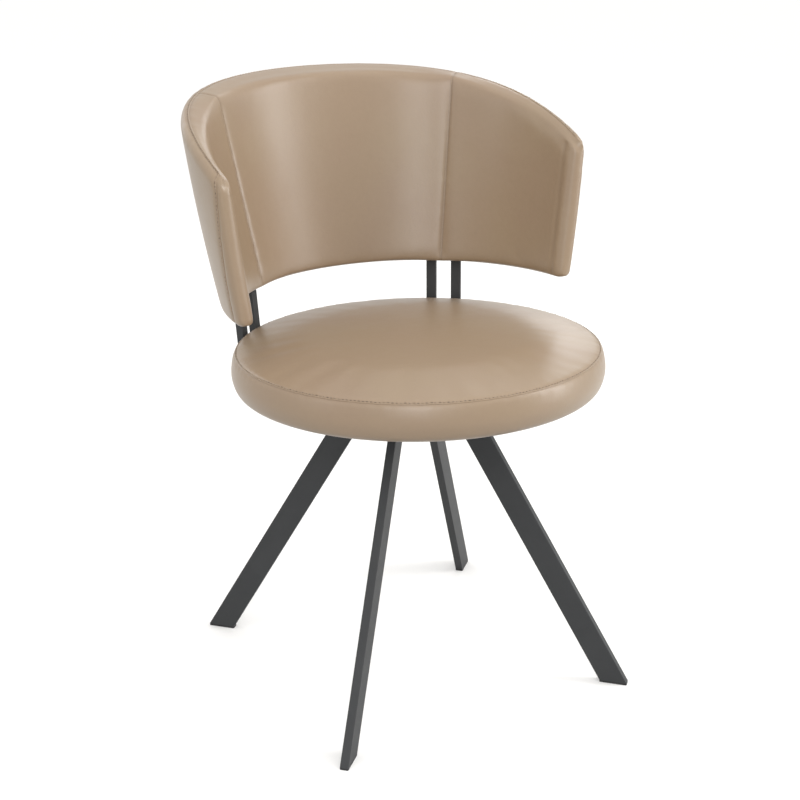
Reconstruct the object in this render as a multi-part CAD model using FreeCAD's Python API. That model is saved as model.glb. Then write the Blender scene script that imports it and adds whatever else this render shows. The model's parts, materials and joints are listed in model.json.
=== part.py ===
import FreeCAD, Part
import math
import os
from FreeCAD import Vector

# Swivel dining chair, sizes in millimetres.
# The origin is on the floor on the swivel axis, +Z is up and the chair faces -Y.

# Legs: flat bars standing on edge in the upright planes through the swivel axis
leg_width = 32.0
leg_thickness = 11.0
leg_splay = 30.2
leg_foot_radius = 283.0
leg_azimuth = 45.0
leg_top_height = 359.0
leg_edge_round = 1.0

# Glides under the legs
glide_height = 2.6
glide_corner = 1.5
glide_pin_radius = 2.5
glide_pin_length = 12.0

# Base plate and the plate swivel on it
base_plate_size = 150.0
base_plate_thickness = 6.0
plate_corner = 12.0
weld_leg = 4.0
weld_end_margin = 4.0
swivel_plate_size = 150.0
swivel_plate_thickness = 3.0
race_radius = 44.0
race_width = 20.0
race_height = 4.0
ball_radius = 4.0
ball_count = 16
race_gap = 4.0
cage_thickness = 2.0
cage_width = 12.0
rivet_radius = 8.0
rivet_flange_radius = 13.0
rivet_flange_height = 3.0
rivet_head_radius = 12.0
rivet_head_height = 2.5
washer_radius = 15.0
washer_thickness = 1.0

# Clearances that the fits share
running_gap = 0.05
slip_gap = 0.1
soft_gap = 0.3
bolt_gap = 0.3

# Bolts, screws and nuts
plate_bolt_radius = 3.0
plate_bolt_circle = 62.0
bolt_head_radius = 5.0
bolt_head_height = 4.0
nut_width = 10.0
nut_height = 5.0
bolt_end = 1.5
tee_barrel_radius = 4.0
tee_flange_radius = 9.0
tee_flange_height = 1.5
seat_screw_radius = 3.0
seat_screw_head_radius = 6.0
seat_screw_head_height = 3.0
back_screw_radius = 2.5
back_screw_head_radius = 5.0
back_screw_head_height = 3.0

# The seat and the back lean back together, about a cross axis under the mount plate
seat_tilt = 2.0
cushion_centre_y = -15.7
back_centre_y = -13.2

# Seat frame, in the tilted frame
spacer_height = 6.0
spacer_radius = 9.0
mount_plate_size = 170.0
mount_plate_thickness = 4.0
bar_width = 13.5
bar_thickness = 9.5
bar_pair_spacing = 35.0
bar_pair_azimuth = 38.1
bar_start = 50.0
bar_bend_radius = 14.25
bar_knee_radius = 60.0
bar_entry_radius = 249.4
bar_lower_flare = 4.0
bar_reach_in_back = 120.0
tie_length = 62.0
tie_width = 26.0
tie_thickness = 3.0
tie_distance = 150.0
crossbar_y = -78.0
crossbar_length = 240.0
crossbar_screw_x = 100.0

# Seat cushion, a round body about the cushion centre, rising from the top of the bars
board_radius = 216.0
board_thickness = 12.0
cover_thickness = 1.5
seam_radius = 230.5
seam_rise = 49.0
shoulder_radius = 204.0
shoulder_rise = 57.5
crown_rise = 63.0
band_bulge_radius = 239.2
band_bulge_rise = 24.0
band_foot_radius = 237.0
band_foot_round = 13.0
hem_radius = 200.0
staple_count = 10
staple_length = 10.0
staple_width = 1.2
staple_height = 0.8

# Back, a padded wall round the back centre
seat_to_back_gap = 107.5
back_rear_height = 259.0
back_inner_radius = 218.5
back_side_flare = 0.12
back_rear_flare = 0.049
back_corner_flare = 0.03
back_seam_azimuth = 38.0
back_wall_azimuth = 85.8
back_end_azimuth = 89.0
back_end_round = 4.0
back_rear_thickness = 54.0
back_end_thickness = 22.0
back_bulge = 3.5
rim_slope = 0.196
rim_curve = 0.00052
rim_seam_offset = 10.0
rim_rise = 6.8
rim_fall = 7.8
crease_drop = 3.0
back_edge_round = 5.0
back_cover_thickness = 2.0
shell_thickness = 9.0
shell_end_depth = 14.0
shell_taper_azimuth = 50.0
shell_bottom_margin = 8.0
shell_top_margin = 18.0
back_screw_rises = (50.0, 95.0)
wall_stations = 21
panel_stations = 7

# Heights and places that follow from the sizes above
base_plate_top = leg_top_height + base_plate_thickness
lower_plate_top = base_plate_top + swivel_plate_thickness
ball_height = lower_plate_top + race_height + race_gap / 2
upper_plate_bottom = ball_height + race_gap / 2 + race_height
upper_plate_top = upper_plate_bottom + swivel_plate_thickness
mount_plate_height = upper_plate_top + spacer_height
mount_plate_top = mount_plate_height + mount_plate_thickness
bar_top_face = mount_plate_top + bar_thickness
board_bottom = bar_top_face + cover_thickness
board_top = board_bottom + board_thickness
back_bottom = bar_top_face + seat_to_back_gap
back_top = back_bottom + back_rear_height
bar_knee_height = back_bottom + back_edge_round
bar_top_height = back_bottom + bar_reach_in_back

up = Vector(0, 0, 1)
cushion_centre = Vector(0, cushion_centre_y, 0)
back_centre = Vector(0, back_centre_y, 0)
tilt_pivot = Vector(0, 0, mount_plate_height)
leg_names = {"front_right": -leg_azimuth, "front_left": leg_azimuth - 180,
             "rear_left": 180 - leg_azimuth, "rear_right": leg_azimuth}


def tan_deg(angle):
    return math.tan(math.radians(angle))


def sin_deg(angle):
    return math.sin(math.radians(angle))


def cos_deg(angle):
    return math.cos(math.radians(angle))


def cylinder(radius, height, foot, axis=up):
    return Part.makeCylinder(radius, height, foot, axis)


def ring(outer, inner, height, foot):
    return cylinder(outer, height, foot).cut(cylinder(inner, height, foot))


def face_from(points):
    return Part.Face(Part.makePolygon(points + points[:1]))


def block(length, width, height, centre):
    corner = centre - Vector(length / 2, width / 2, 0)
    return Part.makeBox(length, width, height, corner)


def rounded_plate(size, thickness, foot_height):
    plate = block(size, size, thickness, Vector(0, 0, foot_height))
    upright = [edge for edge in plate.Edges if abs(edge.tangentAt(0).z) > 0.9]
    return plate.makeFillet(plate_corner, upright)


def hexagon_prism(width, height, foot):
    radius = width / math.sqrt(3)
    corners = [foot + Vector(radius * cos_deg(60 * i), radius * sin_deg(60 * i), 0) for i in range(6)]
    return face_from(corners).extrude(Vector(0, 0, height))


def turned(shape, angle, centre=Vector(0, 0, 0)):
    # a copy turned about the upright line through centre
    copy = shape.copy()
    copy.rotate(centre, up, angle)
    return copy


def tilted(shape):
    # from the tilted frame to the chair's frame: the front comes up
    copy = shape.copy()
    copy.rotate(tilt_pivot, Vector(1, 0, 0), -seat_tilt)
    return copy


def tilted_point(point, angle=seat_tilt):
    return tilt_pivot + FreeCAD.Rotation(Vector(1, 0, 0), -angle).multVec(point - tilt_pivot)


def into_tilted(point):
    # a place of the chair's frame, in the tilted frame
    return tilted_point(point, -seat_tilt)


def export(name, solids):
    group = solids if isinstance(solids, list) else [solids]
    shape = group[0] if len(group) == 1 else Part.makeCompound(group)
    shape.exportStep("parts/" + name + ".step")


def arc_through(a, b, c):
    return Part.Arc(a, b, c).toShape()


def rounded_corner(start, corner, end):
    # a round arc from start to end that fills the corner between them
    share = math.sqrt(2) - 1
    middle = corner * share + (start + end) * ((1 - share) / 2)
    return arc_through(start, middle, end)


def leaving_arc(start, way, end):
    # the arc from start to end that leaves start in the direction of way
    chord = end - start
    turn = way.getAngle(chord)
    side = way - chord * (way.dot(chord) / chord.dot(chord))
    middle = (start + end) / 2 + side.normalize() * (chord.Length / 2 * math.tan(turn / 2))
    return arc_through(start, middle, end)


def joined(shape):
    # the one solid of a boolean result, with its split faces merged
    merged = shape.removeSplitter()
    return merged.Solids[0] if len(merged.Solids) == 1 else merged


# Legs and glides
leg_half_run = leg_width / 2 / cos_deg(leg_splay)


def leg_middle(height):
    # distance of the leg's middle line from the swivel axis
    return leg_foot_radius - height * tan_deg(leg_splay)


def leg_at_x():
    # a leg in the plane y = 0, before it is turned to its corner
    low, high = glide_height, leg_top_height
    outline = [Vector(leg_middle(low) - leg_half_run, -leg_thickness / 2, low),
               Vector(leg_middle(low) + leg_half_run, -leg_thickness / 2, low),
               Vector(leg_middle(high) + leg_half_run, -leg_thickness / 2, high),
               Vector(leg_middle(high) - leg_half_run, -leg_thickness / 2, high)]
    bar = face_from(outline).extrude(Vector(0, leg_thickness, 0))
    long_edges = [edge for edge in bar.Edges if edge.Length > leg_top_height]
    bar = bar.makeFillet(leg_edge_round, long_edges)
    foot = Vector(leg_middle(low), 0, low)
    return bar.cut(cylinder(glide_pin_radius + slip_gap, glide_pin_length + slip_gap, foot))


def glide_at_x():
    middle = leg_middle(glide_height)
    pad = block(2 * leg_half_run, leg_thickness, glide_height, Vector(middle, 0, 0))
    upright = [edge for edge in pad.Edges if abs(edge.tangentAt(0).z) > 0.9]
    pad = pad.makeFillet(glide_corner, upright)
    pin = cylinder(glide_pin_radius, glide_pin_length, Vector(middle, 0, glide_height))
    return joined(pad.fuse(pin))


def weld_beads_at_x():
    # a fillet weld along each wide side of the leg, under the base plate
    length = 2 * leg_half_run - 2 * weld_end_margin
    start = leg_middle(leg_top_height - weld_leg) - length / 2
    beads = []
    for side in (-1, 1):
        face_y = side * leg_thickness / 2
        corner = [Vector(start, face_y, leg_top_height),
                  Vector(start, face_y + side * weld_leg, leg_top_height),
                  Vector(start, face_y, leg_top_height - weld_leg)]
        beads.append(face_from(corner).extrude(Vector(length, 0, 0)))
    return beads


def make_base():
    leg, glide, beads = leg_at_x(), glide_at_x(), weld_beads_at_x()
    all_beads = []
    for corner, azimuth in leg_names.items():
        export("leg_" + corner, turned(leg, azimuth))
        export("foot_glide_" + corner, turned(glide, azimuth))
        all_beads += [turned(bead, azimuth) for bead in beads]
    export("leg_weld_beads", all_beads)


# Swivel
def on_bolt_circle(height):
    return [Vector(plate_bolt_circle, 0, height), Vector(0, plate_bolt_circle, height),
            Vector(-plate_bolt_circle, 0, height), Vector(0, -plate_bolt_circle, height)]


def drilled(shape, centres, radius, height):
    for centre in centres:
        shape = shape.cut(cylinder(radius, height, centre))
    return shape


def raced_plate(plate_foot, race_foot, hole_radius):
    # a square plate with a raised ring, and the ball groove cut into the ring
    plate = rounded_plate(swivel_plate_size, swivel_plate_thickness, plate_foot)
    race = ring(race_radius + race_width / 2, race_radius - race_width / 2, race_height, Vector(0, 0, race_foot))
    plate = joined(plate.fuse(race))
    groove = Part.makeTorus(race_radius, ball_radius + slip_gap, Vector(0, 0, ball_height), up)
    plate = plate.cut(groove)
    plate = plate.cut(cylinder(hole_radius, swivel_plate_thickness, Vector(0, 0, plate_foot)))
    return drilled(plate, on_bolt_circle(plate_foot), plate_bolt_radius + bolt_gap, swivel_plate_thickness)


def make_swivel():
    plate = rounded_plate(base_plate_size, base_plate_thickness, leg_top_height)
    plate = plate.cut(cylinder(rivet_flange_radius + race_gap, base_plate_thickness, Vector(0, 0, leg_top_height)))
    export("base_plate", drilled(plate, on_bolt_circle(leg_top_height), plate_bolt_radius + bolt_gap,
                                 base_plate_thickness))
    export("swivel_lower_plate", raced_plate(base_plate_top, lower_plate_top, rivet_radius + running_gap))
    export("swivel_upper_plate", raced_plate(upper_plate_bottom, upper_plate_bottom - race_height,
                                             rivet_radius + running_gap))
    ball = Part.makeSphere(ball_radius, Vector(race_radius, 0, ball_height))
    pocket = cylinder(ball_radius + 2 * slip_gap, cage_thickness, Vector(race_radius, 0, ball_height - cage_thickness / 2))
    cage = ring(race_radius + cage_width / 2, race_radius - cage_width / 2, cage_thickness,
                Vector(0, 0, ball_height - cage_thickness / 2))
    balls = []
    for i in range(ball_count):
        angle = 360.0 * i / ball_count
        balls.append(turned(ball, angle))
        cage = cage.cut(turned(pocket, angle))
    export("swivel_balls", balls)
    export("swivel_ball_cage", cage)
    rivet = cylinder(rivet_flange_radius, rivet_flange_height, Vector(0, 0, base_plate_top - rivet_flange_height))
    shank_foot = Vector(0, 0, base_plate_top - rivet_flange_height)
    head_foot = Vector(0, 0, upper_plate_top + running_gap + washer_thickness)
    shank = cylinder(rivet_radius, head_foot.z - shank_foot.z, shank_foot)
    head = cylinder(rivet_head_radius, rivet_head_height, head_foot)
    export("swivel_rivet", joined(rivet.fuse(shank).fuse(head)))
    export("swivel_washer", ring(washer_radius, rivet_radius + running_gap, washer_thickness,
                                 Vector(0, 0, upper_plate_top + running_gap)))


def bolt(radius, head_radius, head_height, length, seat_point, axis):
    # the head sits behind seat_point and the shank runs along axis
    shank = cylinder(radius, length, seat_point, axis)
    head = cylinder(head_radius, head_height, seat_point - axis * head_height, axis)
    return joined(shank.fuse(head))


def nut(foot):
    body = hexagon_prism(nut_width, nut_height, foot)
    return body.cut(cylinder(plate_bolt_radius + slip_gap, nut_height, foot))


def make_plate_bolts():
    stack = base_plate_thickness + swivel_plate_thickness
    down = Vector(0, 0, -1)
    length = stack + nut_height + bolt_end
    export("base_bolts", [bolt(plate_bolt_radius, bolt_head_radius, bolt_head_height, length, point, down)
                          for point in on_bolt_circle(lower_plate_top)])
    export("base_nuts", [nut(point) for point in on_bolt_circle(leg_top_height - nut_height)])
    mount_bolts, mount_nuts = [], []
    for point in on_bolt_circle(upper_plate_bottom):
        seat = into_tilted(Vector(point.x, point.y, mount_plate_top))
        nut_foot = Vector(seat.x, seat.y, mount_plate_top)
        nut_top = tilted_point(nut_foot).z + nut_height
        length = nut_top + bolt_end - upper_plate_bottom
        mount_bolts.append(bolt(plate_bolt_radius, bolt_head_radius, bolt_head_height, length, point, up))
        tilted_nut = tilted(nut(nut_foot))
        mount_nuts.append(tilted_nut.cut(cylinder(plate_bolt_radius + slip_gap, length, point)))
    export("mount_bolts", mount_bolts)
    export("mount_nuts", mount_nuts)


# Seat frame
def make_seat_frame():
    plate = tilted(rounded_plate(mount_plate_size, mount_plate_thickness, mount_plate_height))
    reach = 2 * mount_plate_thickness
    plate = drilled(plate, on_bolt_circle(mount_plate_height - reach), plate_bolt_radius + bolt_gap, 3 * reach)
    export("seat_mount_plate", plate)
    above = tilted(block(2 * mount_plate_size, 2 * mount_plate_size, mount_plate_size,
                         Vector(0, 0, mount_plate_height)))
    spacers = []
    for point in on_bolt_circle(upper_plate_top):
        post = ring(spacer_radius, plate_bolt_radius + bolt_gap, mount_plate_size / 2, point)
        spacers.append(post.cut(above))
    right, rear, left, front = spacers
    export("front_tilt_spacer", front)
    export("rear_tilt_spacer", rear)
    export("side_tilt_spacers", [left, right])
    crossbar = block(crossbar_length, bar_width, bar_thickness, Vector(0, crossbar_y, mount_plate_top))
    holes = [Vector(side * crossbar_screw_x, crossbar_y, mount_plate_top) for side in (-1, 1)]
    export("seat_front_crossbar", tilted(drilled(crossbar, holes, seat_screw_radius + bolt_gap, bar_thickness)))


# Back bars: each runs out under the seat, turns up behind the cushion and leans out inside the back
def along_pair(side, distance, offset, height):
    # distance out from the back centre along a pair, offset sideways from its middle
    azimuth = side * bar_pair_azimuth
    out = Vector(sin_deg(azimuth), cos_deg(azimuth), 0)
    across = Vector(cos_deg(azimuth), -sin_deg(azimuth), 0)
    return back_centre + out * distance + across * offset + up * height


def back_flare(azimuth):
    corner = sin_deg(2 * azimuth) ** 2
    return back_side_flare + back_rear_flare * cos_deg(azimuth) + back_corner_flare * corner


bar_upper_flare = math.degrees(math.atan(back_flare(bar_pair_azimuth)))


def bar_distance(height):
    # distance of a bar's middle line from the back centre
    flare = bar_upper_flare if height > bar_knee_height else bar_lower_flare
    return bar_entry_radius + (height - bar_knee_height) * tan_deg(flare)


def bar_half_run(height):
    flare = bar_upper_flare if height > bar_knee_height else bar_lower_flare
    return bar_thickness / 2 / cos_deg(flare)


def bend(corner, before, after, radius):
    # centre, first and last direction of a bend at corner, in the bar's upright plane
    turn = before.getAngle(after)
    reach = radius * math.tan(turn / 2)
    start = corner - before * reach
    left = Vector(-before.y, before.x, 0)
    return start + left * radius if before.cross(after).z > 0 else start - left * radius


def bar_solid(side, offset):
    # outline in the pair's upright plane, as x outwards and y up, then given the bar's width
    run_height = mount_plate_top + bar_thickness / 2
    path = [Vector(bar_start, run_height, 0), Vector(bar_distance(run_height), run_height, 0),
            Vector(bar_entry_radius, bar_knee_height, 0), Vector(bar_distance(bar_top_height), bar_top_height, 0)]
    ways = [(b - a).normalize() for a, b in zip(path, path[1:])]
    sides = []
    for half in (-bar_thickness / 2, bar_thickness / 2):
        edges, last = [], path[0] + Vector(0, half, 0)
        for corner, before, after, radius in zip(path[1:], ways, ways[1:], (bar_bend_radius, bar_knee_radius)):
            centre = bend(corner, before, after, radius)
            turns_left = before.cross(after).z > 0
            away = 1 if turns_left else -1
            arm = radius - away * half
            first = centre + Vector(before.y, -before.x, 0) * (away * arm)
            final = centre + Vector(after.y, -after.x, 0) * (away * arm)
            middle = centre + ((first - centre) + (final - centre)).normalize() * arm
            edges += [(last, first), (first, middle, final)]
            last = final
        way = ways[-1]
        height_left = (bar_top_height - last.y) / way.y
        edges.append((last, last + way * height_left))
        sides.append(edges)

    def place(point):
        return along_pair(side, point.x, offset - bar_width / 2, point.y)

    def drawn(points):
        placed = [place(point) for point in points]
        return Part.makeLine(*placed) if len(placed) == 2 else arc_through(*placed)

    lower, upper = sides
    outline = [drawn(points) for points in lower]
    outline.append(drawn((lower[-1][-1], upper[-1][-1])))
    outline += [drawn(points[::-1]) for points in reversed(upper)]
    outline.append(drawn((upper[0][0], lower[0][0])))
    across = along_pair(side, 0, bar_width, 0) - along_pair(side, 0, 0, 0)
    return Part.Face(Part.Wire(outline)).extrude(across)


def bar_slot(side, offset, gap, inner_gap):
    # the room that a bar takes in the back, from under the back's edge to past the bar's top
    heights = [back_bottom - 2 * back_edge_round, bar_knee_height, bar_top_height + gap]
    left = offset - bar_width / 2 - gap
    inner = [along_pair(side, bar_distance(h) - bar_half_run(h) - inner_gap, left, h) for h in heights]
    outer = [along_pair(side, bar_distance(h) + bar_half_run(h) + gap, left, h) for h in heights]
    across = along_pair(side, 0, bar_width + 2 * gap, 0) - along_pair(side, 0, 0, 0)
    return face_from(inner + outer[::-1]).extrude(across)


bar_places = {"left_outer": (-1, -bar_pair_spacing / 2), "left_inner": (-1, bar_pair_spacing / 2),
              "right_inner": (1, -bar_pair_spacing / 2), "right_outer": (1, bar_pair_spacing / 2)}


def screw_axis(side):
    # from the outer face of a bar towards the sitter, square to the bar
    inward = along_pair(side, -cos_deg(bar_upper_flare), 0, sin_deg(bar_upper_flare))
    return (inward - along_pair(side, 0, 0, 0)).normalize()


def screw_seat(side, offset, rise):
    height = back_bottom + rise
    return along_pair(side, bar_distance(height) + bar_half_run(height), offset, height)


def back_screw_places():
    places = []
    for side, offset in bar_places.values():
        for rise in back_screw_rises:
            places.append((screw_seat(side, offset, rise), screw_axis(side)))
    return places


def make_bars():
    for name, (side, offset) in bar_places.items():
        bar = bar_solid(side, offset)
        for rise in back_screw_rises:
            hole = cylinder(back_screw_radius + slip_gap, 2 * bar_thickness,
                            screw_seat(side, offset, rise) - screw_axis(side), screw_axis(side))
            bar = bar.cut(hole)
        export("back_bar_" + name, tilted(bar))
    for name, side in (("left", -1), ("right", 1)):
        foot = along_pair(side, tie_distance, 0, mount_plate_top - tie_thickness)
        tie = block(tie_length, tie_width, tie_thickness, foot)
        tie = turned(tie, -side * bar_pair_azimuth, foot)
        tie = tie.cut(cylinder(seat_screw_radius + bolt_gap, tie_thickness, foot))
        export(name + "_bar_tie", tilted(tie))


# Seat cushion
def seat_screw_seats():
    # the face under each screw's head
    seats = [Vector(side * crossbar_screw_x, crossbar_y, mount_plate_top) for side in (-1, 1)]
    seats += [along_pair(side, tie_distance, 0, mount_plate_top - tie_thickness) for side in (-1, 1)]
    return seats


def cushion_point(radius, height):
    return cushion_centre + Vector(radius, 0, height)


def cushion_curves(inset):
    # half outline of the cushion from the crown to the underside, moved inwards by inset
    low = bar_top_face
    fall = (crown_rise - shoulder_rise) / 4
    crown = cushion_point(0, low + crown_rise - inset)
    half_way = cushion_point(shoulder_radius / 2, low + crown_rise - fall - inset)
    shoulder = cushion_point(shoulder_radius, low + shoulder_rise - inset)
    outwards = Vector(shoulder_radius / 2, 0, -2 * fall)
    seam = cushion_point(seam_radius - inset, low + seam_rise - inset / 2)
    bulge = cushion_point(band_bulge_radius - inset, low + band_bulge_rise)
    turn = cushion_point(band_foot_radius - inset, low + band_foot_round)
    turn_corner = cushion_point(band_foot_radius - inset, low + inset)
    under = cushion_point(band_foot_radius - band_foot_round, low + inset)
    top_curves = [arc_through(crown, half_way, shoulder), leaving_arc(shoulder, outwards, seam)]
    band_curves = [arc_through(seam, bulge, turn), rounded_corner(turn, turn_corner, under)]
    return crown, seam, under, top_curves, band_curves


def spun(edges):
    # a face turned all round the cushion's upright axis
    return Part.Face(Part.Wire(edges)).revolve(cushion_centre, up, 360)


def make_cushion():
    crown, seam, under, top_curves, band_curves = cushion_curves(0)
    crown_in, seam_in, under_in, top_in, band_in = cushion_curves(cover_thickness)
    export("seat_top_cover", tilted(spun(top_curves + [Part.makeLine(seam, seam_in)] + top_in[::-1] +
                                         [Part.makeLine(crown_in, crown)])))
    hem = cushion_point(hem_radius, bar_top_face)
    hem_in = cushion_point(hem_radius, board_bottom)
    export("seat_side_band", tilted(spun(band_curves + [Part.makeLine(under, hem), Part.makeLine(hem, hem_in),
                                                        Part.makeLine(hem_in, under_in)] + band_in[::-1] +
                                         [Part.makeLine(seam_in, seam)])))
    crown_f, seam_f, under_f, top_f, band_f = cushion_curves(cover_thickness + soft_gap)
    board_edge = board_radius + soft_gap
    skirt_end = cushion_point(board_edge, under_f.z)
    board_corner = cushion_point(board_edge, board_top + soft_gap)
    centre_low = cushion_point(0, board_top + soft_gap)
    export("seat_foam", tilted(spun(top_f + band_f + [Part.makeLine(under_f, skirt_end),
                                                      Part.makeLine(skirt_end, board_corner),
                                                      Part.makeLine(board_corner, centre_low),
                                                      Part.makeLine(centre_low, crown_f)])))
    board = cylinder(board_radius, board_thickness, cushion_point(0, board_bottom))
    dust_cover = cylinder(hem_radius - soft_gap, cover_thickness, cushion_point(0, bar_top_face))
    screws, tee_nuts = [], []
    for seat in seat_screw_seats():
        barrel_foot = Vector(seat.x, seat.y, board_bottom)
        flange_foot = Vector(seat.x, seat.y, board_top - tee_flange_height)
        barrel_height = board_thickness - tee_flange_height
        board = board.cut(cylinder(tee_barrel_radius + slip_gap, board_thickness, barrel_foot))
        board = board.cut(cylinder(tee_flange_radius + slip_gap, tee_flange_height, flange_foot))
        tee = cylinder(tee_barrel_radius, barrel_height, barrel_foot)
        tee = tee.fuse(cylinder(tee_flange_radius, tee_flange_height, flange_foot))
        tee = tee.cut(cylinder(seat_screw_radius + running_gap, board_thickness, barrel_foot))
        tee_nuts.append(tilted(joined(tee)))
        length = board_top - tee_flange_height - seat.z
        screws.append(tilted(bolt(seat_screw_radius, seat_screw_head_radius, seat_screw_head_height, length,
                                  seat, up)))
        dust_cover = dust_cover.cut(cylinder(tee_barrel_radius, cover_thickness,
                                             Vector(seat.x, seat.y, bar_top_face)))
    export("seat_board", tilted(board))
    export("seat_dust_cover", tilted(dust_cover))
    export("seat_screws", screws)
    export("seat_tee_nuts", tee_nuts)
    staple_radius = (hem_radius + board_radius) / 2
    staple = block(staple_width, staple_length, staple_height,
                   cushion_point(staple_radius, bar_top_face - staple_height))
    export("dust_cover_staples", [tilted(turned(staple, 360.0 * i / staple_count, cushion_centre))
                                  for i in range(staple_count)])


# Back
class BackSection:
    # the wall's outline in one upright plane through the back's axis, moved inwards by inset
    def __init__(self, azimuth, inset=0.0):
        self.out = Vector(sin_deg(azimuth), cos_deg(azimuth), 0)
        self.flare = back_flare(azimuth)
        self.inset = inset
        self.thick = back_end_thickness + (back_rear_thickness - back_end_thickness) * cos_deg(azimuth) ** 2
        self.low = back_bottom + inset
        self.crease = rim_height(azimuth) - inset
        self.shell_top = rim_height(azimuth) - shell_top_margin
        self.shell_depth = shell_face_depth(azimuth)

    def at(self, depth, height):
        # depth is measured outwards from the inner face at that height
        radius = back_inner_radius + self.flare * (height - back_bottom) + depth
        return back_centre + self.out * radius + up * height

    def corners(self):
        d, edge = self.inset, back_edge_round
        outer = self.thick - d
        seam_height = self.crease + rim_rise
        return {"foot_in": self.at(edge, self.low),
                "foot_corner": self.at(d, self.low),
                "face_low": self.at(d, back_bottom + edge),
                "face_top": self.at(d, self.crease - crease_drop),
                "crease_corner": self.at(d, seam_height),
                "rim_seam": self.at(rim_seam_offset, seam_height),
                "outer_corner": self.at(outer, seam_height),
                "outer_top": self.at(outer, self.crease - rim_fall),
                "outer_mid": self.at(outer + back_bulge, (self.low + self.crease) / 2),
                "outer_low": self.at(outer, back_bottom + edge),
                "heel_corner": self.at(outer, self.low),
                "heel": self.at(self.thick - edge, self.low)}

    def inner_path(self):
        p = self.corners()
        return [rounded_corner(p["foot_in"], p["foot_corner"], p["face_low"]),
                Part.makeLine(p["face_low"], p["face_top"]),
                rounded_corner(p["face_top"], p["crease_corner"], p["rim_seam"])]

    def outer_path(self):
        p = self.corners()
        return [rounded_corner(p["rim_seam"], p["outer_corner"], p["outer_top"]),
                arc_through(p["outer_top"], p["outer_mid"], p["outer_low"]),
                rounded_corner(p["outer_low"], p["heel_corner"], p["heel"])]


def shell_face_depth(azimuth):
    # the shell's outer face lies on the bars and comes nearer the inner face towards the ends
    bar_face = bar_distance(bar_top_height) - bar_half_run(bar_top_height)
    touch = math.hypot(bar_face, (bar_pair_spacing - bar_width) / 2) - slip_gap
    inner_face = back_inner_radius + back_flare(bar_pair_azimuth) * bar_reach_in_back
    taper = (abs(azimuth) - shell_taper_azimuth) / (back_wall_azimuth - shell_taper_azimuth)
    share = sin_deg(90 * max(0.0, taper)) ** 2
    at_bars = touch - inner_face
    return at_bars + (shell_end_depth - at_bars) * share


def rim_height(azimuth):
    # the rim falls towards the front in the side view, so its height is found where it stands
    rear = back_inner_radius + back_flare(0) * back_rear_height
    height = back_top
    for _ in range(6):
        radius = back_inner_radius + back_flare(azimuth) * (height - back_bottom)
        ahead = rear - radius * cos_deg(azimuth)
        height = back_top - rim_slope * ahead - rim_curve * ahead ** 2
    return height


def azimuths(first, last, count):
    return [first + (last - first) * i / (count - 1) for i in range(count)]


def lofted(wires):
    return Part.makeLoft(wires, True, False)


def inner_cover_wire(azimuth):
    face, back = BackSection(azimuth), BackSection(azimuth, back_cover_thickness)
    p, q = face.corners(), back.corners()
    return Part.Wire(face.inner_path() + [Part.makeLine(p["rim_seam"], q["rim_seam"])] + back.inner_path()[::-1] +
                     [Part.makeLine(q["foot_in"], p["foot_in"])])


def outer_cover_wire(azimuth):
    face, back = BackSection(azimuth), BackSection(azimuth, back_cover_thickness)
    p, q = face.corners(), back.corners()
    nose = face.at(rim_seam_offset + slip_gap, face.crease + rim_rise)
    nose_back = back.at(rim_seam_offset + slip_gap, back.crease + rim_rise)
    roll = rounded_corner(nose, p["outer_corner"], p["outer_top"])
    roll_back = rounded_corner(nose_back, q["outer_corner"], q["outer_top"])
    return Part.Wire([roll] + face.outer_path()[1:] + [Part.makeLine(p["heel"], q["heel"])] +
                     back.outer_path()[:0:-1] + [roll_back, Part.makeLine(nose_back, nose)])


def bottom_cover_wire(azimuth):
    p, q = BackSection(azimuth).corners(), BackSection(azimuth, back_cover_thickness).corners()
    return Part.makePolygon([p["foot_in"], p["heel"], q["heel"], q["foot_in"], p["foot_in"]])


def front_foam_wire(azimuth):
    section = BackSection(azimuth, back_cover_thickness + soft_gap)
    p = section.corners()
    face = section.shell_depth - shell_thickness - soft_gap
    shell_head = section.at(face, section.shell_top)
    shell_foot = section.at(face, section.low)
    return Part.Wire(section.inner_path() + [Part.makeLine(p["rim_seam"], shell_head),
                                             Part.makeLine(shell_head, shell_foot),
                                             Part.makeLine(shell_foot, p["foot_in"])])


def rear_foam_wire(azimuth):
    section = BackSection(azimuth, back_cover_thickness + soft_gap)
    p = section.corners()
    head = section.shell_top + soft_gap
    shell_foot = section.at(section.shell_depth + soft_gap, section.low)
    shell_edge = section.at(section.shell_depth + soft_gap, head)
    shell_head = section.at(section.shell_depth - shell_thickness, head)
    nose = section.at(rim_seam_offset + soft_gap, section.crease + rim_rise)
    shoulder = rounded_corner(nose, p["outer_corner"], p["outer_top"])
    return Part.Wire([shoulder] + section.outer_path()[1:] + [Part.makeLine(p["heel"], shell_foot),
                                                              Part.makeLine(shell_foot, shell_edge),
                                                              Part.makeLine(shell_edge, shell_head),
                                                              Part.makeLine(shell_head, nose)])


def shell_wire(azimuth):
    section = BackSection(azimuth)
    low, outer = back_bottom + shell_bottom_margin, section.shell_depth
    inner = outer - shell_thickness
    corners = [section.at(outer, low), section.at(outer, section.shell_top),
               section.at(inner, section.shell_top), section.at(inner, low)]
    return Part.makePolygon(corners + corners[:1])


def full_wire(azimuth, inset):
    section = BackSection(azimuth, inset)
    p = section.corners()
    return Part.Wire(section.inner_path() + section.outer_path() + [Part.makeLine(p["heel"], p["foot_in"])])


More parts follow.
